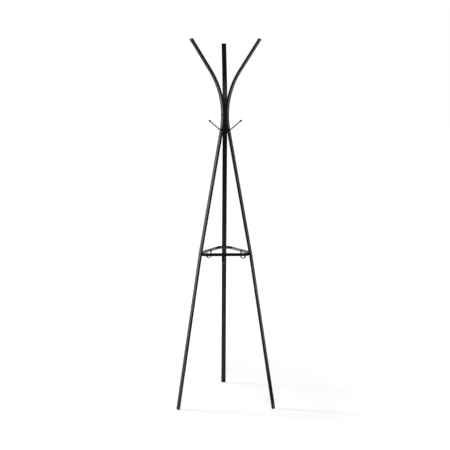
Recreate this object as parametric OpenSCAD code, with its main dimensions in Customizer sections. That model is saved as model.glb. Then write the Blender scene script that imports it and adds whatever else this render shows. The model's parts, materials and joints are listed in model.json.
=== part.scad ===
// Standing coat rack: three bent tubes on a neck hub, tied by a ring of flat bars.
// Millimetres, +Z up, origin on the floor under the middle of the neck.

/* [Overall] */
// Height from the floor to the top of the arms
rack_h = 1700; // [1500:10:1900]
// Radius of the circle that the feet stand on
foot_r = 257.5; // [215:0.5:300]
// Lean of the tubes below the neck, degrees from upright
leg_lean = 11.45; // [10:0.05:13]
// Lean of the arms at the top, degrees from upright
arm_lean = 36.2; // [26:0.1:44]

/* [Tube] */
// Width of the tube across the wide face
tube_w = 22; // [19:0.5:24]
// Depth of the tube from the outer to the inner face
tube_t = 9; // [8:0.5:12]
// Wall of the tube
tube_wall = 1.2; // [1:0.1:1.5]
// Outer corner radius of the tube
tube_corner = 2.2; // [1.8:0.1:3]
// Centre-line radius of the bend at the neck
bend_r = 336; // [300:1:380]

/* [Neck] */
// Drop from the top of the arms to the neck, where the tubes stand upright side by side
neck_drop = 338; // [300:1:380]
// Distance from the rack's axis to the inner face of each tube at the neck
hub_face_r = 7.2; // [6.6:0.1:9]
// Distance from the rack's axis to the hub's blunt corners
hub_corner_r = 11.6; // [10:0.1:12]
// Height of the neck hub
hub_h = 38; // [24:1:60]
// Thread diameter of the neck screws
neck_screw_d = 6; // [5:1:6]
// How far each neck screw reaches into the hub
neck_screw_grip = 4; // [3:0.1:4.5]

/* [Leg joint] */
// Drop from the middle of the brace bars to the joint between arm tube and leg tube
joint_drop = 8.5; // [8:0.5:12]
// Length of the sleeve on each side of the joint
sleeve_reach = 55; // [30:1:90]
// Depth of the foot plug's pad under the tube
foot_pad_t = 3; // [2:0.5:6]
// Depth of the tip cap outside the tube
tip_cap_t = 2.4; // [1.6:0.2:5]
// Length of the part of a plug that sits inside the tube
plug_reach = 18; // [14:1:30]
// Number of grip fins round each plug
plug_fins = 3; // [2:1:4]

/* [Coat pegs] */
// Drop from the neck to the place where the pegs leave the tubes
peg_drop = 67; // [45:1:110]
// Diameter of the peg rod
peg_d = 5; // [4:0.5:6]
// Diameter of the ball on the peg's end
ball_d = 10; // [9:0.5:20]
// Distance from the rack's axis to the middle of the ball
ball_r = 82; // [70:1:120]
// Rise of the ball above the place where the peg leaves the tube
ball_rise = 40.5; // [30:0.5:50]
// Centre-line radius of the bend in the peg rod
peg_bend_r = 8; // [6:0.5:12]
// Straight length of the peg rod before its bend
peg_stub = 6; // [5:0.5:12]
// Depth that the peg rod reaches into its ball
ball_grip = 6; // [4:0.5:7]
// Thickness of the lock nut at the foot of each peg
peg_nut_t = 3.2; // [2.5:0.1:4]
// Thickness of the flange on the threaded insert
insert_flange_t = 1; // [0.8:0.1:1.5]
// Depth of the threaded insert inside the tube
insert_reach = 5.5; // [4:0.5:6]

/* [Brace ring] */
// Height of the middle of the brace bars
brace_z = 723.5; // [650:0.5:800]
// Distance from the middle of a leg to the place where a brace bar bends away from it
brace_corner = 22.5; // [20:0.5:32]
// Height of the flat bar
bar_h = 14.5; // [12:0.5:18]
// Thickness of the flat bar
bar_t = 3; // [2.5:0.5:4]
// Centre-line radius of the bends in the flat bar
bar_bend_r = 9; // [7:0.5:12]
// Thread diameter of the brace screws
brace_screw_d = 5; // [4:1:5]

/* [Bag hooks] */
// Width of the hook strip
hook_w = 11.5; // [10:0.5:14]
// Thickness of the hook strip
hook_t = 2.5; // [2:0.5:3]
// Outer width of the hook's loop
hook_loop_w = 27; // [24:0.5:34]
// Drop from the middle of the brace bar to the bottom of the hook
hook_drop = 40.5; // [34:0.5:50]
// How far the hook's tip rises above the middle of its loop
hook_tip_rise = 13; // [8:0.5:18]
// Offset of each hook from the middle of its brace bar, counter-clockwise seen from above
hook_shift = -12; // [-30:0.5:30]
// Diameter of the rivet that holds the hook
rivet_d = 4; // [3:0.5:5]

/* [Fits] */
// Gap per side between a sleeve and the tube round it
sleeve_gap = 0.15; // [0.1:0.05:0.2]
// Gap per side between a plug's fins and the tube round it
plug_gap = 0.1; // [0.05:0.05:0.2]
// Gap per side between a screw or rivet and its hole
hole_gap = 0.2; // [0.1:0.05:0.3]
// Gap per side between a thread and the metal it is cut in
thread_gap = 0.05; // [0.02:0.01:0.1]

/* [Hidden] */
$fn = 64;
// Steps used for a long arc and for a small corner
bend_steps = 360;
corner_steps = 5;
// Overshoot of a cutting solid past the face it cuts
cut = 1;
// Steps in one bend of the flat bar
bar_bend_steps = 8;
// Overlap of a straight run with the bend next to it
seam = 0.05;
// How much thinner a bend draws a rod or a flat bar
bend_draw = 0.02;

// Azimuth of each leg, seen from above: left, right, rear
leg_azimuths = [210, 330, 90];
// Turn from a leg to the middle of the brace bar that starts at it
half_turn = 60;

tube_colour = [0.09, 0.09, 0.085];
strip_colour = [0.07, 0.07, 0.07];
plastic_colour = [0.04, 0.04, 0.04];
steel_colour = [0.16, 0.16, 0.16];

// Tube centre line, as [radius, height] in the upright plane of one leg
knee_z = brace_z - joint_drop;
neck_z = rack_h - neck_drop;
neck_r = hub_face_r + tube_t / 2;
bend_centre = [neck_r + bend_r, neck_z];
bend_low = bend_centre + bend_r * [-cos(leg_lean), -sin(leg_lean)];
bend_top = bend_centre + bend_r * [-cos(arm_lean), sin(arm_lean)];
knee_r = bend_low[0] + (bend_low[1] - knee_z) * tan(leg_lean);
upper_len = (bend_low[1] - knee_z) / cos(leg_lean);
foot_lean = atan((foot_r - knee_r) / knee_z);
lower_len = knee_z / cos(foot_lean);
knee_lean = (leg_lean + foot_lean) / 2;

// Softened edge of the tip caps
cap_edge = 0.8;
arm_end_z = rack_h - (tube_t / 2 - cap_edge) * sin(arm_lean);
arm_len = (arm_end_z - bend_top[1]) / cos(arm_lean) - tip_cap_t;

// Inside of the tube
bore_w = tube_w - 2 * tube_wall;
bore_t = tube_t - 2 * tube_wall;
bore_corner = tube_corner - tube_wall;

// Plugs: how far the core stands back from the bore, and the thickness of a fin
plug_core_inset = 1.4;
plug_fin_t = 1.2;

// Screw and rivet heads, as shares of their shank's diameter
head_ratio = 1.75;
head_h_ratio = 0.55;
socket_ratio = 0.7;
rivet_head_ratio = 1.8;
rivet_head_h_ratio = 0.4;

// How far a flat head stands off the curved outer face at the neck
neck_head_r = neck_screw_d * head_ratio / 2;
outer_face_r = bend_r - tube_t / 2;
neck_head_rise = outer_face_r - sqrt(pow(outer_face_r, 2) - pow(neck_head_r, 2));
neck_screw_len = neck_screw_grip + tube_t + neck_head_rise;

// Foot of the peg on the tube's outer face, on the bend or on the straight below it
peg_z = neck_z - peg_drop;
peg_bend_angle = asin(min(1, peg_drop / outer_face_r));
peg_on_bend = peg_bend_angle < leg_lean;
peg_lean = peg_on_bend ? peg_bend_angle : leg_lean;
peg_r = peg_on_bend
    ? bend_centre[0] - outer_face_r * cos(peg_lean)
    : bend_low[0] + (bend_low[1] - peg_z) * tan(leg_lean) + tube_t / 2 / cos(leg_lean);

// Peg rod: the ball's place in the peg's own frame, and the turn that aims at it
ball_out = (ball_r - peg_r) * cos(peg_lean) + ball_rise * sin(peg_lean);
ball_up = ball_rise * cos(peg_lean) - (ball_r - peg_r) * sin(peg_lean);
aim = [ball_out - peg_stub, ball_up - peg_bend_r];
peg_turn = atan2(aim[1], aim[0]) + asin(peg_bend_r / norm(aim));
peg_run = sqrt(pow(norm(aim), 2) - pow(peg_bend_r, 2));
peg_seat_gap = 0.03;

// Threaded insert and lock nut of a peg
insert_d = peg_d + 2;
insert_flange_d = peg_d + 4.5;
peg_nut_w = 1.6 * peg_d;

// Thickness of the sleeve left behind the tip of a brace screw
sleeve_skin = 1.3;

// Brace ring. Layer 0 lies on the leg and layer 1 on layer 0
brace_face_r = knee_r - joint_drop * tan(leg_lean) - tube_t / 2 / cos(leg_lean);
brace_r = brace_face_r * cos(half_turn) + brace_corner * sin(half_turn);
bar_bend_tangent = bar_bend_r * tan(half_turn / 2);
brace_screw_grip = bore_t - 2 * sleeve_gap - sleeve_skin;
brace_screw_len = 2 * bar_t + tube_wall + sleeve_gap + brace_screw_grip;
function tab_r(layer) = brace_face_r - (layer + 0.5) * bar_t / cos(leg_lean);
function bar_corner(layer) = (brace_r - tab_r(layer) * cos(half_turn)) / sin(half_turn);
function bend_start(layer) = bar_corner(layer) - bar_bend_tangent;
function bend_out(layer, turn) = tab_r(layer) - bar_bend_r * (1 - cos(turn));
function bend_across(layer, turn) = bend_start(layer) + bar_bend_r * sin(turn);
function bar_reach(layer) =
    bend_out(layer, half_turn) * sin(half_turn) - bend_across(layer, half_turn) * cos(half_turn);

// Bag hook, in the frame of its bar with x outward from the rack's axis
hook_loop_r = hook_loop_w / 2;
hook_back_r = brace_r - bar_t / 2 - hook_t;
hook_loop_x = hook_back_r + hook_loop_r;
hook_loop_z = brace_z - hook_drop + hook_loop_r;
hook_top_z = brace_z + bar_h / 2;

// Frames

// Upright plane of one leg, with x outward from the rack's axis
module at_leg(leg) {
    rotate([0, 0, leg_azimuths[leg]]) children();
}

// Frame of one brace bar, with x outward through its middle
module at_bar(bar) {
    rotate([0, 0, leg_azimuths[bar] + half_turn]) children();
}

// Knee of a leg, with z up along the arm tube
module at_knee(lean) {
    translate([knee_r, 0, knee_z]) rotate([0, -lean, 0]) children();
}

// Open end of an arm tube, with z out of the tube
module at_arm_end() {
    translate([bend_top[0], 0, bend_top[1]])
        rotate([0, arm_lean, 0])
            translate([0, 0, arm_len]) children();
}

// Foot of a peg on the tube's outer face, with x out of the face
module at_peg() {
    translate([peg_r, 0, peg_z]) rotate([0, -peg_lean, 0])
        translate([peg_seat_gap, 0, 0]) children();
}

// Brace screw, at the face between the two tabs, with x outward
module at_brace_screw() {
    translate([brace_face_r - bar_t / cos(leg_lean), 0, brace_z])
        rotate([0, -leg_lean, 0]) children();
}

// Shapes that repeat

// Outline of a tube or plug with round corners: x is its depth, y its width
module round_rect(depth, width, corner) {
    polygon([
        for (quarter = [0:3], step = [0:corner_steps])
            let (
                angle = 90 * (quarter + step / corner_steps),
                x_side = quarter == 0 || quarter == 3 ? 1 : -1,
                y_side = quarter < 2 ? 1 : -1
            )
            [
                x_side * (depth / 2 - corner) + corner * cos(angle),
                y_side * (width / 2 - corner) + corner * sin(angle)
            ]
    ]);
}

module tube_outline() {
    round_rect(tube_t, tube_w, tube_corner);
}

module bore_outline() {
    round_rect(bore_t, bore_w, bore_corner);
}

// Bore outline drawn in by a gap on every side
module inner_outline(gap) {
    round_rect(bore_t - 2 * gap, bore_w - 2 * gap, bore_corner);
}

// Sweep an outline along the arm tube's centre line, past its ends by over
module arm_sweep(over_knee, over_end) {
    at_knee(leg_lean)
        translate([0, 0, -over_knee])
            linear_extrude(upper_len + over_knee + seam) children();
    translate([bend_centre[0], 0, bend_centre[1]])
        rotate([90, 0, 0])
            rotate([0, 0, 180 - arm_lean])
                rotate_extrude(angle = arm_lean + leg_lean, $fn = bend_steps)
                    translate([bend_r, 0]) children();
    at_arm_end()
        translate([0, 0, -arm_len - seam])
            linear_extrude(arm_len + over_end + seam) children();
}

// Sweep an outline along the leg tube's centre line, past its ends by over
module leg_sweep(over_foot, over_knee) {
    translate([foot_r, 0, 0])
        rotate([0, -foot_lean, 0])
            translate([0, 0, -over_foot])
                linear_extrude(lower_len + over_foot + over_knee) children();
}

// Block on one side of the mitre where arm tube and leg tube meet
module knee_block(side) {
    at_knee(knee_lean)
        translate([-tube_w, -tube_w, side > 0 ? 0 : -2 * tube_w])
            cube(2 * tube_w);
}

// Slab between two heights round one foot
module foot_slab(low, high) {
    translate([foot_r - tube_w, -tube_w, low])
        cube([2 * tube_w, 2 * tube_w, high - low]);
}

// Pin or bore along x, from one place to another
module x_rod(d, from, to) {
    translate([from, 0, 0])
        rotate([0, 90, 0])
            cylinder(d = d, h = to - from);
}

// Low dome along +x, flat at x = 0
module x_dome(d, h) {
    ball = (pow(d / 2, 2) + pow(h, 2)) / (2 * h);
    rotate([0, 90, 0])
        rotate_extrude()
            intersection() {
                translate([0, h - ball]) circle(ball, $fn = 4 * $fn);
                square([d / 2, h]);
            }
}

// Button-head screw with its head towards +x and its seat at x = 0
module button_screw(d, reach) {
    head_h = d * head_h_ratio;
    difference() {
        union() {
            x_dome(d * head_ratio, head_h);
            x_rod(d, -reach, head_h / 4);
        }
        rotate([0, 90, 0])
            translate([0, 0, head_h / 3])
                cylinder(d = d * socket_ratio, h = head_h, $fn = 6);
    }
}

// Core and fins of a plug, from z = 0 up into a tube
module plug_core(from) {
    translate([0, 0, from])
        linear_extrude(plug_reach - from) inner_outline(plug_core_inset);
    for (fin = [1:plug_fins])
        translate([0, 0, fin * plug_reach / (plug_fins + 0.5) - plug_fin_t])
            linear_extrude(plug_fin_t) inner_outline(plug_gap);
}

// Sub-parts

module arm_tube(leg) {
    color(tube_colour)
        at_leg(leg)
            difference() {
                arm_sweep(cut, 0) tube_outline();
                arm_sweep(2 * cut, cut) bore_outline();
                knee_block(-1);
                translate([0, 0, neck_z])
                    x_rod(neck_screw_d + 2 * hole_gap, 0, neck_r + tube_t);
                at_peg()
                    x_rod(insert_d + 2 * hole_gap, -tube_t / 2, cut);
                at_brace_screw()
                    x_rod(brace_screw_d + 2 * hole_gap, 0, bar_t + tube_t / 2);
            }
}

module leg_tube(leg) {
    color(tube_colour)
        at_leg(leg)
            difference() {
                leg_sweep(0, cut) tube_outline();
                leg_sweep(cut, 2 * cut) bore_outline();
                knee_block(1);
                foot_slab(-tube_w, foot_pad_t);
            }
}

module joint_sleeve(leg) {
    color(steel_colour)
        at_leg(leg)
            difference() {
                union() {
                    at_knee(leg_lean)
                        translate([0, 0, -cut])
                            linear_extrude(sleeve_reach + cut) inner_outline(sleeve_gap);
                    at_knee(foot_lean)
                        translate([0, 0, -sleeve_reach])
                            linear_extrude(sleeve_reach + cut) inner_outline(sleeve_gap);
                }
                at_brace_screw()
                    x_rod(brace_screw_d + 2 * thread_gap, 0, brace_screw_len - bar_t + hole_gap);
            }
}

module tip_cap(leg) {
    color(plastic_colour)
        at_leg(leg)
            at_arm_end() {
                hull() {
                    linear_extrude(tip_cap_t - cap_edge) tube_outline();
                    linear_extrude(tip_cap_t)
                        round_rect(tube_t - 2 * cap_edge, tube_w - 2 * cap_edge, tube_corner - cap_edge);
                }
                mirror([0, 0, 1]) plug_core(-tip_cap_t / 2);
            }
}

module foot_plug(leg) {
    color(plastic_colour)
        at_leg(leg) {
            intersection() {
                leg_sweep(tube_t, 0) tube_outline();
                foot_slab(0, foot_pad_t);
            }
            intersection() {
                translate([foot_r, 0, 0])
                    rotate([0, -foot_lean, 0])
                        translate([0, 0, foot_pad_t]) plug_core(-foot_pad_t);
                foot_slab(foot_pad_t / 2, 2 * plug_reach);
            }
        }
}

module neck_hub() {
    color(tube_colour)
        difference() {
            translate([0, 0, neck_z - hub_h / 2])
                linear_extrude(hub_h)
                    intersection() {
                        rotate(leg_azimuths[0] + half_turn) circle(2 * hub_face_r, $fn = 3);
                        rotate(leg_azimuths[0]) circle(2 * hub_corner_r, $fn = 3);
                    }
            for (leg = [0:2])
                at_leg(leg)
                    translate([0, 0, neck_z])
                        x_rod(
                            neck_screw_d + 2 * thread_gap,
                            hub_face_r - neck_screw_grip - thread_gap,
                            hub_face_r + cut
                        );
        }
}

module neck_screws() {
    color(steel_colour)
        for (leg = [0:2])
            at_leg(leg)
                translate([neck_r + tube_t / 2 + neck_head_rise, 0, neck_z])
                    button_screw(neck_screw_d, neck_screw_len);
}

module peg_rod(leg) {
    color(strip_colour)
        at_leg(leg)
            at_peg() {
                x_rod(peg_d, -insert_reach, peg_stub + seam);
                translate([peg_stub, 0, peg_bend_r])
                    rotate([90, 0, 0])
                        rotate([0, 0, -90])
                            rotate_extrude(angle = peg_turn)
                                translate([peg_bend_r, 0]) circle(d = peg_d - bend_draw);
                at_peg_run()
                    translate([0, 0, -seam])
                        cylinder(d = peg_d, h = peg_run - ball_d / 2 + ball_grip + seam);
            }
}

// End of the peg's bend, with z along the rod to the ball
module at_peg_run() {
    translate([peg_stub + peg_bend_r * sin(peg_turn), 0, peg_bend_r * (1 - cos(peg_turn))])
        rotate([0, 90 - peg_turn, 0]) children();
}

module peg_ball(leg) {
    color(strip_colour)
        at_leg(leg)
            at_peg()
                at_peg_run()
                    difference() {
                        translate([0, 0, peg_run]) sphere(d = ball_d);
                        cylinder(
                            d = peg_d + 2 * thread_gap,
                            h = peg_run - ball_d / 2 + ball_grip + thread_gap
                        );
                    }
}

module peg_inserts() {
    color(steel_colour)
        for (leg = [0:2])
            at_leg(leg)
                at_peg()
                    difference() {
                        union() {
                            x_rod(insert_d, -insert_reach, insert_flange_t / 2);
                            x_rod(insert_flange_d, 0, insert_flange_t);
                        }
                        x_rod(peg_d + 2 * thread_gap, -insert_reach - cut, insert_flange_t + cut);
                    }
}

module peg_nuts() {
    color(steel_colour)
        for (leg = [0:2])
            at_leg(leg)
                at_peg()
                    translate([insert_flange_t, 0, 0])
                        difference() {
                            rotate([0, 90, 0])
                                cylinder(d = peg_nut_w / cos(30), h = peg_nut_t, $fn = 6);
                            x_rod(peg_d + 2 * thread_gap, -cut, peg_nut_t + cut);
                        }
}

// Corners of the flat bar at one station of its bend, in the frame of a leg.
// Share runs from 0 at the tab to 1 at the straight, and ahead moves the station along the bar
function bend_corners(layer, share, ahead) =
    let (
        turn = half_turn * share,
        lean = leg_lean * (1 - share),
        middle = [
            bend_out(layer, turn) - ahead * sin(turn),
            bend_across(layer, turn) + ahead * cos(turn),
            brace_z
        ],
        through = (bar_t - bend_draw) / 2 * [cos(lean) * cos(turn), cos(lean) * sin(turn), sin(lean)],
        up = (bar_h - bend_draw) / 2 * [-sin(lean) * cos(turn), -sin(lean) * sin(turn), cos(lean)]
    )
    [middle - through - up, middle + through - up, middle + through + up, middle - through + up];

// Bend of a brace bar next to its tab, where the bar also turns upright
module bar_bend(layer) {
    stations = concat(
        [bend_corners(layer, 0, -seam)],
        [for (step = [0:bar_bend_steps]) bend_corners(layer, step / bar_bend_steps, 0)],
        [bend_corners(layer, 1, seam)]
    );
    last = len(stations) - 1;
    polyhedron(
        points = [for (station = stations) each station],
        faces = concat(
            [[3, 2, 1, 0]],
            [
                for (station = [0:last - 1], corner = [0:3])
                    let (
                        near = 4 * station + corner,
                        next = 4 * station + (corner + 1) % 4
                    )
                    each [[near, next + 4, near + 4], [near, next, next + 4]]
            ],
            [[4 * last, 4 * last + 1, 4 * last + 2, 4 * last + 3]]
        )
    );
}

// End of a brace bar on a leg: the tab that lies on the tube, and the bend next to it
module bar_end(layer) {
    translate([tab_r(layer), 0, brace_z])
        rotate([0, -leg_lean, 0]) {
            translate([-bar_t / 2, 0, -bar_h / 2])
                cube([bar_t, bend_start(layer), bar_h]);
            x_rod(bar_h, -bar_t / 2, bar_t / 2);
        }
    bar_bend(layer);
}

module brace_bar(bar) {
    next_leg = (bar + 1) % 3;
    color(strip_colour)
        difference() {
            union() {
                at_leg(bar) bar_end(0);
                at_leg(next_leg) mirror([0, 1, 0]) bar_end(1);
                at_bar(bar)
                    translate([brace_r - bar_t / 2, -bar_reach(0), brace_z - bar_h / 2])
                        cube([bar_t, bar_reach(0) + bar_reach(1), bar_h]);
            }
            for (leg = [bar, next_leg])
                at_leg(leg)
                    at_brace_screw()
                        x_rod(brace_screw_d + 2 * hole_gap, -2 * bar_t, 2 * bar_t);
            at_bar(bar)
                translate([0, hook_shift, brace_z])
                    x_rod(rivet_d + 2 * thread_gap, brace_r - bar_t, brace_r + bar_t);
        }
}

module bag_hook(bar) {
    tip_z = hook_loop_z + hook_tip_rise - hook_w / 2;
    tip_x = hook_back_r + hook_loop_w - hook_t;
    color(strip_colour)
        at_bar(bar)
            translate([0, hook_shift, 0])
                difference() {
                    union() {
                        translate([hook_back_r, -hook_w / 2, hook_loop_z])
                            cube([hook_t, hook_w, hook_top_z - hook_loop_z]);
                        hook_loop();
                        translate([tip_x, -hook_w / 2, hook_loop_z])
                            cube([hook_t, hook_w, tip_z - hook_loop_z]);
                        translate([0, 0, tip_z]) x_rod(hook_w, tip_x, tip_x + hook_t);
                    }
                    translate([0, 0, brace_z])
                        x_rod(rivet_d + 2 * thread_gap, hook_back_r - cut, hook_back_r + hook_t + cut);
                }
}

// Lower half of a hook's loop
module hook_loop() {
    difference() {
        translate([hook_loop_x, hook_w / 2, hook_loop_z])
            rotate([90, 0, 0])
                difference() {
                    cylinder(r = hook_loop_r, h = hook_w);
                    translate([0, 0, -cut])
                        cylinder(r = hook_loop_r - hook_t, h = hook_w + 2 * cut);
                }
        translate([hook_back_r - cut, -hook_w, hook_loop_z])
            cube([hook_loop_w + 2 * cut, 2 * hook_w, hook_loop_w]);
    }
}

module brace_screws() {
    color(steel_colour)
        for (leg = [0:2])
            at_leg(leg)
                at_brace_screw()
                    translate([-bar_t, 0, 0])
                        mirror([1, 0, 0]) button_screw(brace_screw_d, brace_screw_len);
}

module hook_rivets() {
    head_d = rivet_d * rivet_head_ratio;
    head_h = rivet_d * rivet_head_h_ratio;
    color(strip_colour)
        for (bar = [0:2])
            at_bar(bar)
                translate([0, hook_shift, brace_z]) {
                    x_rod(rivet_d, hook_back_r - head_h / 4, brace_r + bar_t / 2 + head_h / 4);
                    translate([brace_r + bar_t / 2, 0, 0]) x_dome(head_d, head_h);
                    translate([hook_back_r, 0, 0]) mirror([1, 0, 0]) x_dome(head_d, head_h);
                }
}

arm_tube(0);  // left_arm_tube
arm_tube(1);  // right_arm_tube
arm_tube(2);  // rear_arm_tube
leg_tube(0);  // left_leg_tube
leg_tube(1);  // right_leg_tube
leg_tube(2);  // rear_leg_tube
joint_sleeve(0);  // left_joint_sleeve
joint_sleeve(1);  // right_joint_sleeve
joint_sleeve(2);  // rear_joint_sleeve
tip_cap(0);  // left_tip_cap
tip_cap(1);  // right_tip_cap
tip_cap(2);  // rear_tip_cap
foot_plug(0);  // left_foot_plug
foot_plug(1);  // right_foot_plug
foot_plug(2);  // rear_foot_plug
neck_hub();
neck_screws();
peg_rod(0);  // left_peg_rod
peg_rod(1);  // right_peg_rod
peg_rod(2);  // rear_peg_rod
peg_ball(0);  // left_peg_ball
peg_ball(1);  // right_peg_ball
peg_ball(2);  // rear_peg_ball
peg_inserts();
peg_nuts();
brace_bar(0);  // front_brace_bar
brace_bar(1);  // right_brace_bar
brace_bar(2);  // left_brace_bar
bag_hook(0);  // front_bag_hook
bag_hook(1);  // right_bag_hook
bag_hook(2);  // left_bag_hook
brace_screws();
hook_rivets();
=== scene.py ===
"""Looks of the standing coat rack: materials, strips drawn finer than the solids, studio and camera."""

import json
import math

import bmesh
import bpy
from mathutils import Matrix, Vector


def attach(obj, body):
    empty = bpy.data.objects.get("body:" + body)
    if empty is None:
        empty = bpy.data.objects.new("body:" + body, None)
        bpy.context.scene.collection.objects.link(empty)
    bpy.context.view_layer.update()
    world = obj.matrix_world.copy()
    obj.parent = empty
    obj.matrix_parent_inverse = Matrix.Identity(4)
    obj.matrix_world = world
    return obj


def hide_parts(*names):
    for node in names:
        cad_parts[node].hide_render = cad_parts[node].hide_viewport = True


bpy.ops.wm.read_factory_settings(use_empty=True)
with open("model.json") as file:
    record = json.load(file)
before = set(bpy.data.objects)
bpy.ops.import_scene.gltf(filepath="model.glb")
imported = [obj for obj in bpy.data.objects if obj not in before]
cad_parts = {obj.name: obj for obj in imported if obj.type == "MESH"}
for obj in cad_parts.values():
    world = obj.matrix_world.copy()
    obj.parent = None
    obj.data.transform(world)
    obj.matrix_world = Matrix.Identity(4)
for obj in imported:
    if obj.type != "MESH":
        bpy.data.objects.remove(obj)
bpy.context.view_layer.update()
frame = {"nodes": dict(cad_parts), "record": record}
nodes = frame["nodes"]
scene = bpy.context.scene

# The azimuth of each leg in degrees, and the two legs that each bar of the brace ring joins
LEG_AZIMUTHS = {"left": 210, "right": 330, "rear": 90}
BAR_ENDS = {"front": ("left", "right"), "right": ("right", "rear"), "left": ("rear", "left")}


# Node trees. A fade is a range of a value and the range that it becomes. Most values of a noise lie
# in its middle. At an edge, the fade goes by the cosine between the flat and the rounded normal

MIDDLE = (0.35, 0.65)
WIDE_MIDDLE = (0.3, 0.7)
EDGE_FADE = ((0.995, 0.85), (0.0, 1.0))
EDGE_SAMPLES = 4


def empty_material(name):
    """A material and its node tree, with nothing in it."""
    material = bpy.data.materials.new(name)
    material.use_nodes = True
    material.node_tree.nodes.clear()
    return material, material.node_tree


def new_material(name):
    """A material with its tree and its shader, which is joined to the output."""
    material, tree = empty_material(name)
    output = tree.nodes.new("ShaderNodeOutputMaterial")
    shader = tree.nodes.new("ShaderNodeBsdfPrincipled")
    tree.links.new(shader.outputs["BSDF"], output.inputs["Surface"])
    return material, tree, shader


def object_place(tree):
    """The point on the object in metres."""
    return tree.nodes.new("ShaderNodeTexCoord").outputs["Object"]


def noise(tree, place, scale, detail=3.0, roughness=0.5):
    """The value of a noise texture over the object, with its scale per metre."""
    texture = tree.nodes.new("ShaderNodeTexNoise")
    texture.inputs["Scale"].default_value = scale
    texture.inputs["Detail"].default_value = detail
    texture.inputs["Roughness"].default_value = roughness
    tree.links.new(place, texture.inputs["Vector"])
    return texture.outputs["Fac"]


def remap(tree, value, old_range, new_range):
    """A value spread from one range to another and held inside it."""
    node = tree.nodes.new("ShaderNodeMapRange")
    sockets = ("From Min", "From Max", "To Min", "To Max")
    for socket, number in zip(sockets, (*old_range, *new_range)):
        node.inputs[socket].default_value = number
    tree.links.new(value, node.inputs["Value"])
    return node.outputs["Result"]


def combined(tree, operation, first, second):
    """Two values put together by one operation of the math node."""
    node = tree.nodes.new("ShaderNodeMath")
    node.operation = operation
    tree.links.new(first, node.inputs[0])
    tree.links.new(second, node.inputs[1])
    return node.outputs["Value"]


def axis_values(tree, vector):
    """The X, Y and Z values of a vector."""
    split = tree.nodes.new("ShaderNodeSeparateXYZ")
    tree.links.new(vector, split.inputs["Vector"])
    return split.outputs


def blend_colour(tree, factor, first, second):
    """A colour between two others, each a socket or three numbers."""
    node = tree.nodes.new("ShaderNodeMix")
    node.data_type = "RGBA"
    tree.links.new(factor, node.inputs["Factor"])
    for socket, colour in (("A", first), ("B", second)):
        target = next(s for s in node.inputs if s.name == socket and s.type == "RGBA")
        if isinstance(colour, bpy.types.NodeSocket):
            tree.links.new(colour, target)
        else:
            target.default_value = (*colour, 1)
    return next(s for s in node.outputs if s.type == "RGBA")


def edge_mask(tree, radius):
    """How near a point is to a sharp outer or inner edge: 0 on the flats, up to 1 on the edge."""
    rounded = tree.nodes.new("ShaderNodeBevel")
    rounded.samples = EDGE_SAMPLES
    rounded.inputs["Radius"].default_value = radius
    flat = tree.nodes.new("ShaderNodeNewGeometry").outputs["Normal"]
    turn = tree.nodes.new("ShaderNodeVectorMath")
    turn.operation = "DOT_PRODUCT"
    tree.links.new(rounded.outputs["Normal"], turn.inputs[0])
    tree.links.new(flat, turn.inputs[1])
    return remap(tree, turn.outputs["Value"], *EDGE_FADE)


def bump(tree, heights):
    """Bumps laid over each other. Each is a height socket and its depth in metres."""
    normal = None
    for height, depth in heights:
        node = tree.nodes.new("ShaderNodeBump")
        node.inputs["Strength"].default_value = 1.0
        node.inputs["Distance"].default_value = depth
        tree.links.new(height, node.inputs["Height"])
        if normal is not None:
            tree.links.new(normal, node.inputs["Normal"])
        normal = node.outputs["Normal"]
    return normal


def shifted(colour, factor, lift):
    """A colour with each channel times a factor, plus a lift."""
    return tuple(factor * channel + lift for channel in colour)


def around(middle, spread):
    """A range from a step below a middle value to a step above it."""
    below, above = spread
    return (middle - below, middle + above)


# Powder coat. Scales are per metre, depths and heights in metres

PAINT_TONE_SCALE = 7.0
PAINT_TONE_FADE = (MIDDLE, (0.0, 0.5))
PAINT_PALER = (1.5, 0.001)
PAINT_ROUGH_SCALE = 26.0
PAINT_ROUGH_SPREAD = (0.05, 0.06)
SPECK_SCALE = 900.0
SPECK_FADE = ((0.64, 0.74), (0.0, 0.2))
SPECK_COLOUR = (0.02, 0.02, 0.019)
# Edges: paler, rougher patches along them, partly rubbed wear of the coat and partly a painted highlight
# where the edges catch the light
EDGE_WEAR_AND_HIGHLIGHT_RADIUS = 0.0007
EDGE_WEAR_AND_HIGHLIGHT_PATCH_SCALE = 55.0
EDGE_WEAR_AND_HIGHLIGHT_PATCH_FADE = ((0.45, 0.7), (0.15, 1.0))
EDGE_WEAR_AND_HIGHLIGHT_SPECK_FADE = (WIDE_MIDDLE, (0.3, 0.6))
WEAR_ROUGH_SPREAD = (0.1, 0.15)
EDGE_WEAR_AND_HIGHLIGHT_COLOUR = (0.032, 0.032, 0.031)
SCUFF_HEIGHT_FADE = ((0.004, 0.08), (1.0, 0.0))
SCUFF_SCALE = 520.0
SCUFF_FADE = ((0.55, 0.8), (0.0, 0.5))
SCUFF_COLOUR = (0.03, 0.029, 0.027)
PEEL_SCALE = 420.0
PEEL_DEPTH = 0.00006
GRAIN_SCALE = 2200.0
GRAIN_DEPTH = 0.1 * PEEL_DEPTH


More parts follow.
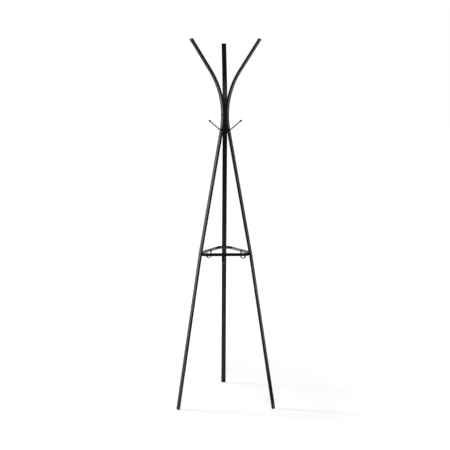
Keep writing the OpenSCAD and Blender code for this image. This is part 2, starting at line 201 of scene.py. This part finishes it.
def powder_colour(tree, place, colour, rubbed_and_highlit):
    """The paint's colour: a slow drift, pale specks, paler edges that are partly rubbed wear and partly a
    painted highlight, and scuffs near the floor.
    """
    drift = remap(tree, noise(tree, place, PAINT_TONE_SCALE, detail=2.0), *PAINT_TONE_FADE)
    toned = blend_colour(tree, drift, colour, shifted(colour, *PAINT_PALER))
    speckle = noise(tree, place, SPECK_SCALE, detail=1.0)
    dusted = blend_colour(tree, remap(tree, speckle, *SPECK_FADE), toned, SPECK_COLOUR)
    # Paler edges: partly rubbed wear, partly a painted highlight
    edge_wear_and_highlight = combined(tree, "MULTIPLY", rubbed_and_highlit, remap(tree, speckle, *EDGE_WEAR_AND_HIGHLIGHT_SPECK_FADE))
    worn_and_highlit = blend_colour(tree, edge_wear_and_highlight, dusted, EDGE_WEAR_AND_HIGHLIGHT_COLOUR)
    low = remap(tree, axis_values(tree, place)["Z"], *SCUFF_HEIGHT_FADE)
    marks = noise(tree, place, SCUFF_SCALE, detail=5.0, roughness=0.7)
    scuff = combined(tree, "MULTIPLY", low, remap(tree, marks, *SCUFF_FADE))
    return blend_colour(tree, scuff, worn_and_highlit, SCUFF_COLOUR)


def powder_coat(name, colour, rough, specular):
    """Baked powder paint: a faint orange peel, a fine grain, drifts of tone and sheen, and paler, rougher
    edges that are partly wear and partly a painted highlight.
    """
    material, tree, shader = new_material(name)
    place = object_place(tree)
    # Mask of the paler edges, which are partly rubbed wear and partly a painted highlight
    patches = remap(tree, noise(tree, place, EDGE_WEAR_AND_HIGHLIGHT_PATCH_SCALE), *EDGE_WEAR_AND_HIGHLIGHT_PATCH_FADE)
    rubbed_and_highlit = combined(tree, "MULTIPLY", edge_mask(tree, EDGE_WEAR_AND_HIGHLIGHT_RADIUS), patches)
    tree.links.new(powder_colour(tree, place, colour, rubbed_and_highlit), shader.inputs["Base Color"])
    sheen = noise(tree, place, PAINT_ROUGH_SCALE)
    drifted = remap(tree, sheen, WIDE_MIDDLE, around(rough, PAINT_ROUGH_SPREAD))
    matted = remap(tree, rubbed_and_highlit, (0.0, 1.0), around(rough, WEAR_ROUGH_SPREAD))
    tree.links.new(combined(tree, "MAXIMUM", drifted, matted), shader.inputs["Roughness"])
    shader.inputs["Specular IOR Level"].default_value = specular
    peel = noise(tree, place, PEEL_SCALE, detail=1.0)
    grain = noise(tree, place, GRAIN_SCALE, detail=2.0)
    normal = bump(tree, ((peel, PEEL_DEPTH), (grain, GRAIN_DEPTH)))
    tree.links.new(normal, shader.inputs["Normal"])
    return material


# Plated steel

PLATING_SCALE = 240.0
PLATING_TONE_FADE = (MIDDLE, (0.0, 1.0))
PLATING_DARKER = (0.7, 0.0)
PLATING_ROUGH_SPREAD = (0.06, 0.08)
PLATING_GRAIN_SCALE = 3000.0
PLATING_GRAIN_DEPTH = 0.00001


def plated_steel(name, colour, rough):
    """Plated steel: metal with a fine grain and a slightly patchy tone and sheen."""
    material, tree, shader = new_material(name)
    place = object_place(tree)
    patch = noise(tree, place, PLATING_SCALE)
    drift = remap(tree, patch, *PLATING_TONE_FADE)
    toned = blend_colour(tree, drift, shifted(colour, *PLATING_DARKER), colour)
    tree.links.new(toned, shader.inputs["Base Color"])
    shader.inputs["Metallic"].default_value = 1.0
    patchy = remap(tree, patch, WIDE_MIDDLE, around(rough, PLATING_ROUGH_SPREAD))
    tree.links.new(patchy, shader.inputs["Roughness"])
    grain = noise(tree, place, PLATING_GRAIN_SCALE, detail=2.0)
    tree.links.new(bump(tree, ((grain, PLATING_GRAIN_DEPTH),)), shader.inputs["Normal"])
    return material


# Moulded plastic

PLASTIC_TONE_SCALE = 60.0
PLASTIC_TONE_FADE = (MIDDLE, (0.0, 0.6))
PLASTIC_PALER = (1.6, 0.003)
PLASTIC_ROUGH_SCALE = 500.0
PLASTIC_ROUGH_FADE = (WIDE_MIDDLE, (0.5, 0.66))
PLASTIC_SPECULAR = 0.4
PLASTIC_GRAIN_SCALE = 1800.0
PLASTIC_GRAIN_DEPTH = 0.00004


def moulded_plastic(name, colour):
    """Matt moulded plastic with a fine spark-eroded grain."""
    material, tree, shader = new_material(name)
    place = object_place(tree)
    drift = remap(tree, noise(tree, place, PLASTIC_TONE_SCALE, detail=2.0), *PLASTIC_TONE_FADE)
    toned = blend_colour(tree, drift, colour, shifted(colour, *PLASTIC_PALER))
    tree.links.new(toned, shader.inputs["Base Color"])
    rough = remap(tree, noise(tree, place, PLASTIC_ROUGH_SCALE), *PLASTIC_ROUGH_FADE)
    tree.links.new(rough, shader.inputs["Roughness"])
    shader.inputs["Specular IOR Level"].default_value = PLASTIC_SPECULAR
    grain = noise(tree, place, PLASTIC_GRAIN_SCALE, detail=2.0)
    tree.links.new(bump(tree, ((grain, PLASTIC_GRAIN_DEPTH),)), shader.inputs["Normal"])
    return material


MATERIALS = {
    # The tube paint's slight yellow cast (less blue) is a painted warm reflection of the floor and walls,
    # not the coat's own colour
    "tube_paint": powder_coat("tube_powder_coat", (0.0042, 0.0042, 0.0034), rough=0.34, specular=0.25),
    "strip_paint": powder_coat("strip_powder_coat", (0.0018, 0.0018, 0.0018), rough=0.2, specular=0.52),
    "rod_paint": powder_coat("rod_powder_coat", (0.0042, 0.0042, 0.0042), rough=0.34, specular=0.3),
    "black_steel": plated_steel("black_plated_steel", (0.07, 0.07, 0.072), rough=0.34),
    "plain_steel": plated_steel("zinc_plated_steel", (0.55, 0.56, 0.58), rough=0.3),
    "black_plastic": moulded_plastic("black_moulded_plastic", (0.012, 0.012, 0.012)),
}


# The solids

MOULDED_EDGE_R = 0.0004
WELD_REACH = 0.00002
FLAT_ANGLE = math.radians(0.6)
SHARP_ANGLE = math.radians(38)


def dress_nodes():
    """Each solid gets the material of its slot in the record."""
    for part in frame["record"]["subparts"]:
        mesh = nodes[part["node"]].data
        mesh.materials.clear()
        mesh.materials.append(MATERIALS[part["material_slot"]])


def soften(node):
    """Moulded edges: the sharp edges of a cap or a plug get a small round."""
    weld = node.modifiers.new("weld", "WELD")
    weld.merge_threshold = WELD_REACH
    flats = node.modifiers.new("flats", "DECIMATE")
    flats.decimate_type = "DISSOLVE"
    flats.angle_limit = FLAT_ANGLE
    edge = node.modifiers.new("edge", "BEVEL")
    edge.width = MOULDED_EDGE_R
    edge.segments = 2
    edge.limit_method = "ANGLE"
    edge.angle_limit = SHARP_ANGLE
    shade = node.modifiers.new("shade", "WEIGHTED_NORMAL")
    shade.mode = "FACE_AREA_WITH_ANGLE"
    shade.keep_sharp = True


# Flat steel strips, in metres. Each is drawn through stations: its middle, the directions through
# its thickness and across its width, and half its width there. The sizes are those of the solids

# Brace ring: the height of its middle, the radius of the legs' faces that it lies on, the radius to
# the middle of a bar, the turn from a leg's face to a bar's, and the lean of the legs
RING_Z = 0.7235
RING_FACE_R = 0.12961
RING_R = 0.08429
RING_TURN_DEGREES = 60
RING_TURN = math.radians(RING_TURN_DEGREES)
LEG_LEAN = math.radians(11.45)

# Bars of the ring: their height, thickness and centre-line radius of the bends
BAR_H = 0.0145
BAR_T = 0.003
BAR_BEND_R = 0.009

# Bag hooks: their width, thickness, outer width of the loop, drop from the bar's middle, rise of the
# tip above the loop's middle, and offset along the bar, counter-clockwise seen from above
HOOK_W = 0.0115
HOOK_T = 0.0025
HOOK_LOOP_W = 0.027
HOOK_DROP = 0.0405
HOOK_TIP_RISE = 0.013
HOOK_SHIFT = -0.012

# Rolled edges, and the largest share of half a narrow tip's width that they take
ROLLED_EDGE_R = 0.0007
ROLLED_SHARE = 0.9

# Fineness, and how far round a half-round end its first station lies
EDGE_STEPS = 4
END_STEPS = 12
END_START_DEGREES = 4
BEND_STEPS = 20
LOOP_STEPS = 40


def strip_section(station, half_t):
    """Ring of points round a strip at a station, with its four edges rolled."""
    middle, through, across, half_w = station
    rolled = min(ROLLED_EDGE_R, ROLLED_SHARE * half_w)
    ring = []
    for quarter, (side, edge) in enumerate(((1, 1), (-1, 1), (-1, -1), (1, -1))):
        for step in range(EDGE_STEPS + 1):
            turn = math.radians(90) * (quarter + step / EDGE_STEPS)
            out = side * (half_t - rolled) + rolled * math.cos(turn)
            along = edge * (half_w - rolled) + rolled * math.sin(turn)
            ring.append(middle + out * through + along * across)
    return ring


def strip_mesh(name, stations, half_t):
    """The closed skin of a strip, smooth along its sides and flat at its ends."""
    skin = bmesh.new()
    rings = [[skin.verts.new(point) for point in strip_section(s, half_t)] for s in stations]
    count = len(rings[0])
    for near, far in zip(rings, rings[1:]):
        for step in range(count):
            after = (step + 1) % count
            skin.faces.new((near[step], near[after], far[after], far[step]))
    skin.faces.new(rings[0])
    skin.faces.new(rings[-1])
    bmesh.ops.recalc_face_normals(skin, faces=skin.faces)
    for face in skin.faces:
        face.smooth = len(face.verts) == 4
    mesh = bpy.data.meshes.new(name)
    skin.to_mesh(mesh)
    skin.free()
    return mesh


def strip(name, stations, half_t, node):
    """A painted steel strip through its stations that stands for a node of the solids."""
    mesh = strip_mesh(name, stations, half_t)
    mesh.materials.append(MATERIALS["strip_paint"])
    piece = bpy.data.objects.new(name, mesh)
    scene.collection.objects.link(piece)
    shade = piece.modifiers.new("shade", "WEIGHTED_NORMAL")
    shade.mode = "FACE_AREA"
    shade.keep_sharp = True
    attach(piece, "root")
    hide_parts(node)


def round_end(end, back, through, across, half_w):
    """Stations of a strip's half-round end, from its tip to just short of its full width."""
    stations = []
    for step in range(END_STEPS):
        turn = math.radians(END_START_DEGREES + (90 - END_START_DEGREES) * step / END_STEPS)
        tip = end - half_w * math.cos(turn) * back
        stations.append((tip, through, across, half_w * math.sin(turn)))
    return stations


def bar_end_stations(layer, mirrored):
    """Stations of a bar's tab on its leg and of the bend next to it, in the frame of that leg."""
    tab_r = RING_FACE_R - (layer + 0.5) * BAR_T / math.cos(LEG_LEAN)
    corner = (RING_R - tab_r * math.cos(RING_TURN)) / math.sin(RING_TURN)
    bend_start = corner - BAR_BEND_R * math.tan(RING_TURN / 2)
    half_h = BAR_H / 2
    tab = Vector((tab_r, 0, RING_Z))
    through = Vector((math.cos(LEG_LEAN), 0, math.sin(LEG_LEAN)))
    across = Vector((-math.sin(LEG_LEAN), 0, math.cos(LEG_LEAN)))
    stations = round_end(tab, Vector((0, 1, 0)), through, across, half_h)
    stations.append((tab, through, across, half_h))
    for step in range(BEND_STEPS + 1):
        share = step / BEND_STEPS
        turn = RING_TURN * share
        lean = LEG_LEAN * (1 - share)
        facing = Vector((math.cos(turn), math.sin(turn), 0))
        out = tab_r - BAR_BEND_R * (1 - math.cos(turn))
        along = bend_start + BAR_BEND_R * math.sin(turn)
        through = math.cos(lean) * facing + Vector((0, 0, math.sin(lean)))
        across = -math.sin(lean) * facing + Vector((0, 0, math.cos(lean)))
        stations.append((Vector((out, along, RING_Z)), through, across, half_h))
    if mirrored:
        flip = Matrix.Scale(-1, 3, (0, 1, 0))
        stations = [(flip @ m, flip @ t, flip @ a, w) for m, t, a, w in reversed(stations)]
    return stations


def spun(stations, azimuth):
    """Stations turned about the rack's axis, by degrees."""
    turn = Matrix.Rotation(math.radians(azimuth), 3, "Z")
    return [(turn @ m, turn @ t, turn @ a, w) for m, t, a, w in stations]


def brace_bar(bar):
    """A bar of the ring: a tab, a bend that also turns it upright, the straight, and back again."""
    from_leg, to_leg = BAR_ENDS[bar]
    near = spun(bar_end_stations(0, False), LEG_AZIMUTHS[from_leg])
    far = spun(bar_end_stations(1, True), LEG_AZIMUTHS[to_leg])
    strip(bar + "_bar_strip", near + far, BAR_T / 2, bar + "_brace_bar")


def bag_hook(bar):
    """A hook of flat steel: its back behind the bar, its round loop and its half-round tip."""
    back_x = RING_R - BAR_T / 2 - HOOK_T / 2
    loop_r = (HOOK_LOOP_W - HOOK_T) / 2
    loop_z = RING_Z - HOOK_DROP + HOOK_LOOP_W / 2
    half_w = HOOK_W / 2
    across = Vector((0, 1, 0))
    out = Vector((1, 0, 0))
    centre = Vector((back_x + loop_r, HOOK_SHIFT, loop_z))
    stations = [(Vector((back_x, HOOK_SHIFT, RING_Z + BAR_H / 2)), out, across, half_w)]
    for step in range(LOOP_STEPS + 1):
        turn = math.radians(180) * step / LOOP_STEPS
        inward = Vector((math.cos(turn), 0, math.sin(turn)))
        stations.append((centre - loop_r * inward, inward, across, half_w))
    tip = Vector((back_x + 2 * loop_r, HOOK_SHIFT, loop_z + HOOK_TIP_RISE - half_w))
    stations.append((tip, -out, across, half_w))
    stations += reversed(round_end(tip, Vector((0, 0, -1)), -out, across, half_w))
    azimuth = LEG_AZIMUTHS[BAR_ENDS[bar][0]] + RING_TURN_DEGREES
    strip(bar + "_hook_strip", spun(stations, azimuth), HOOK_T / 2, bar + "_bag_hook")


# Studio, in metres and watts. The fades of the room go by the direction of a reflection, and
# the fade of the floor's glow by the distance from the rack

BACKDROP_FADE = ((-0.3, 0.45), (0.02, 1.0))
CEILING_FADE = ((0.45, 0.9), (1.0, 0.25))
RIGHT_FADE = ((0.0, 0.7), (1.0, 0.45))
FLOOR_HALF = 60.0
FLOOR_PALE = (0.8, 0.8, 0.8, 1)
FLOOR_SEEN = (0.7, 0.7, 0.7, 1)
FLOOR_GLOW_FADE = ((0.5, 2.2), (0.455, 0.87))
CARD_Z = 0.01
BLACK_CARD = 0.01
GREY_CARD = 0.4
CAMERA_PLACE = (-0.118, -3.783, 1.3636)
CAMERA_DOWN = math.radians(7.725)
CAMERA_RIGHT = math.radians(1.785)
CAMERA_LENS = 65.1
CAMERA_SENSOR = 36.0
CAMERA_REACH = 100.0


def studio_world():
    """White to the camera. In reflections, white behind the rack and dimmer in front, above and right."""
    world = bpy.data.worlds.new("studio")
    scene.world = world
    world.use_nodes = True
    tree = world.node_tree
    tree.nodes.clear()
    direction = axis_values(tree, tree.nodes.new("ShaderNodeTexCoord").outputs["Generated"])
    room = remap(tree, direction["Y"], *BACKDROP_FADE)
    room = combined(tree, "MULTIPLY", room, remap(tree, direction["Z"], *CEILING_FADE))
    room = combined(tree, "MULTIPLY", room, remap(tree, direction["X"], *RIGHT_FADE))
    path = tree.nodes.new("ShaderNodeLightPath").outputs
    seen = combined(tree, "MAXIMUM", path["Is Camera Ray"], path["Is Transmission Ray"])
    background = tree.nodes.new("ShaderNodeBackground")
    background.inputs["Color"].default_value = (1, 1, 1, 1)
    tree.links.new(combined(tree, "MAXIMUM", room, seen), background.inputs["Strength"])
    output = tree.nodes.new("ShaderNodeOutputWorld")
    tree.links.new(background.outputs["Background"], output.inputs["Surface"])


def level_card(name, outline, height):
    """A level card with four corners."""
    mesh = bpy.data.meshes.new(name)
    mesh.from_pydata([(x, y, height) for x, y in outline], [], [(0, 1, 2, 3)])
    card = bpy.data.objects.new(name, mesh)
    scene.collection.objects.link(card)
    return card


def matt(tree, colour):
    """A plain matt shader of one colour."""
    shader = tree.nodes.new("ShaderNodeBsdfDiffuse")
    shader.inputs["Color"].default_value = colour
    return shader.outputs["BSDF"]


def floor_glow(tree):
    """A white glow that grows with the distance from the rack."""
    away = tree.nodes.new("ShaderNodeVectorMath")
    away.operation = "LENGTH"
    tree.links.new(object_place(tree), away.inputs[0])
    glow = tree.nodes.new("ShaderNodeEmission")
    glow.inputs["Color"].default_value = (1, 1, 1, 1)
    strength = remap(tree, away.outputs["Value"], *FLOOR_GLOW_FADE)
    tree.links.new(strength, glow.inputs["Strength"])
    return glow.outputs["Emission"]


def studio_floor():
    """A plain pale floor. Seen by the camera or in a gloss it is near white, and it keeps the shadow."""
    half = FLOOR_HALF
    floor = level_card("floor", [(-half, -half), (half, -half), (half, half), (-half, half)], 0)
    material, tree = empty_material("studio_floor")
    glowing = tree.nodes.new("ShaderNodeAddShader")
    tree.links.new(matt(tree, FLOOR_SEEN), glowing.inputs[0])
    tree.links.new(floor_glow(tree), glowing.inputs[1])
    path = tree.nodes.new("ShaderNodeLightPath").outputs
    seen = combined(tree, "MAXIMUM", path["Is Camera Ray"], path["Is Glossy Ray"])
    seen = combined(tree, "MAXIMUM", seen, path["Is Transmission Ray"])
    mix = tree.nodes.new("ShaderNodeMixShader")
    tree.links.new(seen, mix.inputs["Fac"])
    tree.links.new(matt(tree, FLOOR_PALE), mix.inputs[1])
    tree.links.new(glowing.outputs["Shader"], mix.inputs[2])
    output = tree.nodes.new("ShaderNodeOutputMaterial")
    tree.links.new(mix.outputs["Shader"], output.inputs["Surface"])
    floor.data.materials.append(material)


def floor_flag(name, outline, shade=BLACK_CARD):
    """A card over the floor that only reflections see, which keeps part of the floor out of the paint."""
    card = level_card(name, outline, CARD_Z)
    material, _, shader = new_material(name)
    shader.inputs["Base Color"].default_value = (shade, shade, shade, 1)
    shader.inputs["Roughness"].default_value = 1.0
    shader.inputs["Specular IOR Level"].default_value = 0.0
    card.data.materials.append(material)
    card.visible_camera = False
    card.visible_diffuse = False
    card.visible_shadow = False


def softbox(name, place, aim_z, size, power, in_gloss=True):
    """A soft lamp aimed at a height on the rack's axis. The paint mirrors it unless told otherwise."""
    lamp = bpy.data.lights.new(name, "AREA")
    lamp.shape = "RECTANGLE"
    lamp.size, lamp.size_y = size
    lamp.energy = power
    holder = bpy.data.objects.new(name, lamp)
    holder.location = place
    sight = Vector((0, 0, aim_z)) - Vector(place)
    holder.rotation_euler = sight.to_track_quat("-Z", "Y").to_euler()
    holder.visible_glossy = in_gloss
    scene.collection.objects.link(holder)


def studio_camera():
    """A camera at the neck's height, almost four metres in front of the rack, looking a little down."""
    camera = bpy.data.cameras.new("camera")
    camera.sensor_width = CAMERA_SENSOR
    camera.lens = CAMERA_LENS
    camera.clip_end = CAMERA_REACH
    holder = bpy.data.objects.new("camera", camera)
    holder.location = CAMERA_PLACE
    holder.rotation_euler = (math.radians(90) - CAMERA_DOWN, 0.0, -CAMERA_RIGHT)
    scene.collection.objects.link(holder)
    scene.camera = holder


dress_nodes()
for leg in LEG_AZIMUTHS:
    soften(nodes[leg + "_tip_cap"])
    soften(nodes[leg + "_foot_plug"])
for bar in BAR_ENDS:
    brace_bar(bar)
    bag_hook(bar)

studio_world()
studio_floor()
studio_camera()
floor_flag("front_floor_flag", [(-6, -8), (6, -8), (6, -1.4), (-6, -1.4)])
floor_flag("left_floor_flag", [(-6, -1.4), (-0.45, -1.4), (-0.45, -0.3), (-6, -0.3)])
floor_flag("right_floor_flag", [(0.45, -1.4), (6, -1.4), (6, -0.3), (0.45, -0.3)])
floor_flag("right_back_flag", [(0.27, -0.3), (2.8, -0.3), (2.8, 1.3), (0.27, 0.12)])
floor_flag("left_back_flag", [(-4, 1.3), (-1.2, 1.3), (-1.2, 4), (-4, 4)], shade=GREY_CARD)
softbox("left_softbox", place=(-2.6, 1.3, 1.0), aim_z=0.8, size=(1.0, 1.7), power=16)
softbox("right_softbox", place=(2.8, 1.5, 0.9), aim_z=0.8, size=(1.2, 1.8), power=4)
softbox("front_softbox", place=(0, -3.0, 3.9), aim_z=1.4, size=(2.0, 1.8), power=26)
softbox("left_fill", place=(-2.5, 0.55, 1.9), aim_z=0.3, size=(0.4, 0.3), power=38, in_gloss=False)
softbox("front_fill", place=(0, -4.5, 2.6), aim_z=0.9, size=(3.0, 3.0), power=150, in_gloss=False)
scene.view_settings.view_transform = "Standard"
